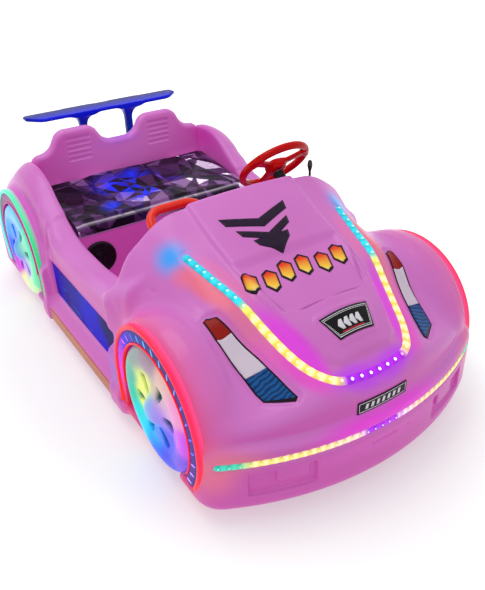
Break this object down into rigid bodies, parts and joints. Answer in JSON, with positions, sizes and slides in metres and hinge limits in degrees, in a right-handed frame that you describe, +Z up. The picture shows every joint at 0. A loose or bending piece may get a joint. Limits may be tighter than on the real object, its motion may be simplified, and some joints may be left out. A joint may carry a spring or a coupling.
{
  "type": "fairground bumper car",
  "caption": "Two-seat battery bumper car for children, with a moulded lit body, bench seat, steering wheel, rear wing and hidden running wheels.",
  "frame": {"origin": "on the floor under the middle of the wheelbase, centre of the bounding box", "axes": "+X forward, +Y to the car's left, +Z up"},
  "size_m": [1.9999, 1.04, 0.7685],
  "materials": {
    "body_plastic": "satin rotomoulded, translucent",
    "seat_vinyl": "black vinyl",
    "blue_plastic": "moulded translucent blue",
    "black_plastic": "matt moulded",
    "red_plastic": "gloss moulded",
    "steel": "bright steel",
    "painted_steel": "black powder coat",
    "battery_case": "moulded case",
    "motor_case": "grey painted casting",
    "light_strip": "clear silicone over lights",
    "arch_light": "lit diffuser ring",
    "arch_band": "dark lit band",
    "blue_panel": "gloss blue",
    "lamp_film": "printed film",
    "black_film": "black with a silver border",
    "cover_plastic": "milky translucent",
    "tyre": "solid rubber",
    "wheel_hub": "grey nylon"
  },
  "bodies": {
    "car_body": {"front_body": "body_plastic", "nose_bumper": "body_plastic", "side_wall_left": "body_plastic", "side_wall_right": "body_plastic", "rear_body": "body_plastic", "tail_bumper": "body_plastic", "floor_pan": "body_plastic", "seat_base": "body_plastic", "seat_back": "body_plastic", "seat_cushion": "seat_vinyl", "wing_blade": "blue_plastic", "wing_stalks": "blue_plastic", "column_sleeve": "black_plastic", "grab_handle": "red_plastic", "control_lever": "black_plastic", "foot_pedal": "black_plastic", "speakers": "black_plastic", "bonnet_light_strip": "light_strip", "bumper_light_strip": "light_strip", "sill_light_strips": "light_strip", "side_panels": "blue_panel", "lamp_panels": "lamp_film", "nose_badge": "black_film", "number_plate": "black_film", "chassis_rails": "painted_steel", "chassis_crossmembers": "painted_steel", "battery": "battery_case", "steering_bridge": "painted_steel", "rear_stub_axles": "steel", "arch_rings_front": "arch_light", "arch_rings_rear": "arch_light", "arch_liners_front": "arch_band", "arch_liners_rear": "arch_band", "wheel_cover_front_left": "cover_plastic", "wheel_cover_front_right": "cover_plastic", "wheel_cover_rear_left": "cover_plastic", "wheel_cover_rear_right": "cover_plastic"},
    "steering": {"steering_wheel": "red_plastic", "steering_shaft": "steel"},
    "steered_fork": {"drive_fork": "painted_steel", "drive_axle": "steel", "drive_motor": "motor_case"},
    "drive_wheel": {"drive_wheel_tyre": "tyre", "drive_wheel_hub": "wheel_hub"},
    "rear_wheel_left": {"rear_wheel_left_tyre": "tyre", "rear_wheel_left_hub": "wheel_hub"},
    "rear_wheel_right": {"rear_wheel_right_tyre": "tyre", "rear_wheel_right_hub": "wheel_hub"}
  },
  "joints": [
    {"name": "steering_turn", "type": "hinge", "parent": "car_body", "child": "steering", "pos_m": [0.205, 0.2, 0.672], "axis": [-0.7314, 0, 0.682], "range_deg": [-120, 120]},
    {"name": "fork_yaw", "type": "hinge", "parent": "car_body", "child": "steered_fork", "pos_m": [0.6, 0, 0.175], "axis": [0, 0, 1], "range_deg": [-80.5, 80.5]},
    {"name": "drive_wheel_spin", "type": "hinge", "parent": "steered_fork", "child": "drive_wheel", "pos_m": [0.6, 0, 0.075], "axis": [0, 1, 0], "continuous": true},
    {"name": "rear_wheel_left_spin", "type": "hinge", "parent": "car_body", "child": "rear_wheel_left", "pos_m": [-0.775, 0.225, 0.075], "axis": [0, 1, 0], "continuous": true},
    {"name": "rear_wheel_right_spin", "type": "hinge", "parent": "car_body", "child": "rear_wheel_right", "pos_m": [-0.775, -0.225, 0.075], "axis": [0, 1, 0], "continuous": true}
  ],
  "couplings": [
    {"joint": "fork_yaw", "follows": "steering_turn", "ratio": 0.66667}
  ]
}
